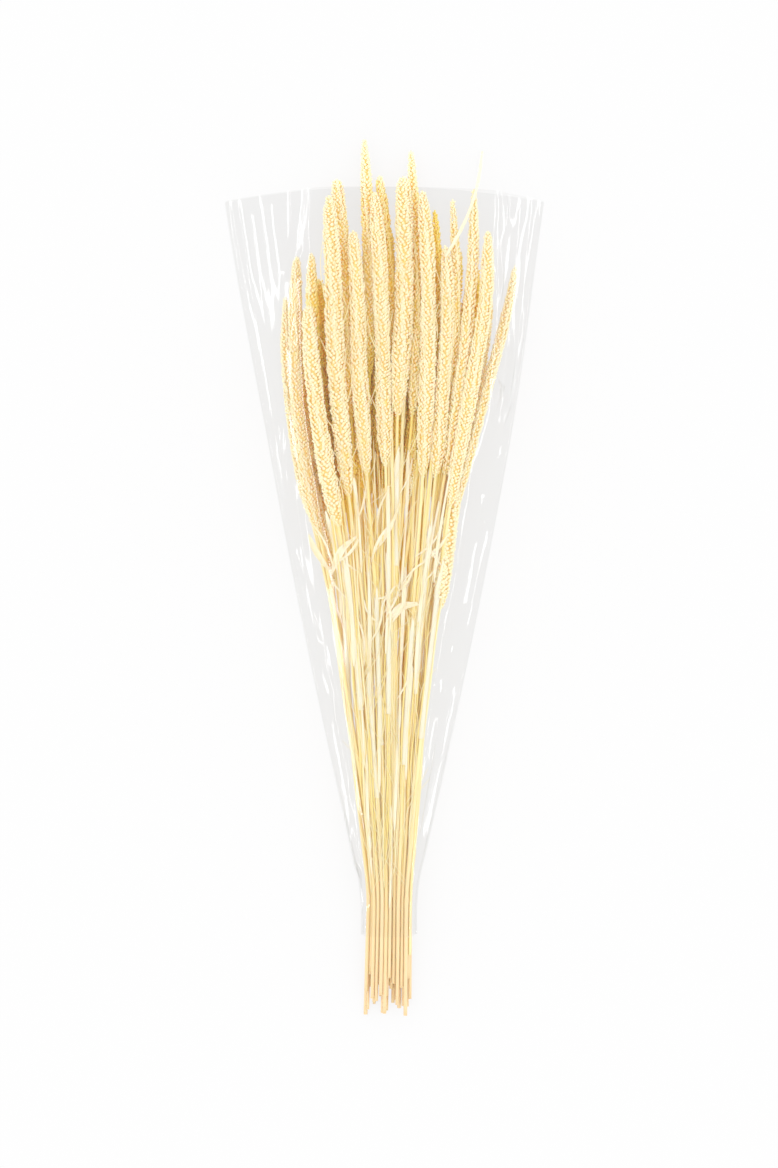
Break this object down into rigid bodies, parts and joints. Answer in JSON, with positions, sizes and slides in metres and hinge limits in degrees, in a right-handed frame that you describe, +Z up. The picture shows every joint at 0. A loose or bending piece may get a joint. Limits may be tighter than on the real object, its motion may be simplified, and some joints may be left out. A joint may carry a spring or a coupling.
{
  "type": "bundle of dried foxtail millet",
  "caption": "Bundle of dried foxtail millet stalks with long bristly seed heads, lying flat in a clear cone-shaped flower sleeve.",
  "frame": {"origin": "middle of the bundle's box, on the surface it lies on", "axes": "+Y along the stalks towards the seed heads, +Z up from the surface, +X across the bundle"},
  "size_m": [0.2552, 0.6981, 0.0551],
  "materials": {
    "seed_head": "rough, bleached, bristly seed clusters",
    "straw": "dry, satin, lengthwise ribs",
    "dry_leaf": "papery, curled, matt",
    "clear_film": "clear, glossy, crinkled"
  },
  "bodies": {
    "root": {"millet_stalk_01": "seed_head", "millet_stalk_02": "seed_head", "millet_stalk_03": "seed_head", "millet_stalk_04": "seed_head", "millet_stalk_05": "seed_head", "millet_stalk_06": "seed_head", "millet_stalk_07": "seed_head", "millet_stalk_08": "seed_head", "millet_stalk_09": "seed_head", "millet_stalk_10": "seed_head", "millet_stalk_11": "seed_head", "millet_stalk_12": "seed_head", "millet_stalk_13": "seed_head", "millet_stalk_14": "seed_head", "millet_stalk_15": "seed_head", "millet_stalk_16": "seed_head", "millet_stalk_17": "seed_head", "millet_stalk_18": "seed_head", "millet_stalk_19": "seed_head", "millet_stalk_20": "seed_head", "millet_stalk_21": "seed_head", "millet_stalk_22": "seed_head", "millet_stalk_23": "seed_head", "millet_stalk_24": "seed_head", "millet_stalk_25": "seed_head", "millet_stalk_26": "seed_head", "millet_stalk_27": "seed_head", "millet_stalk_28": "seed_head", "millet_stalk_29": "seed_head", "millet_stalk_30": "seed_head", "millet_stalk_31": "seed_head", "millet_stalk_32": "seed_head", "millet_stalk_33": "seed_head", "millet_stalk_34": "seed_head", "millet_stalk_35": "seed_head", "millet_stalk_36": "seed_head", "millet_stalk_37": "seed_head", "millet_stalk_38": "seed_head", "millet_stalk_39": "seed_head", "millet_stalk_40": "seed_head", "millet_stalk_41": "seed_head", "millet_stalk_42": "seed_head", "leaf_shred_01": "dry_leaf", "leaf_shred_02": "dry_leaf", "leaf_shred_03": "dry_leaf", "leaf_shred_04": "dry_leaf", "leaf_shred_05": "dry_leaf", "leaf_shred_06": "dry_leaf", "leaf_shred_07": "dry_leaf", "sleeve_back_film": "clear_film", "sleeve_front_film": "clear_film"}
  },
  "joints": []
}
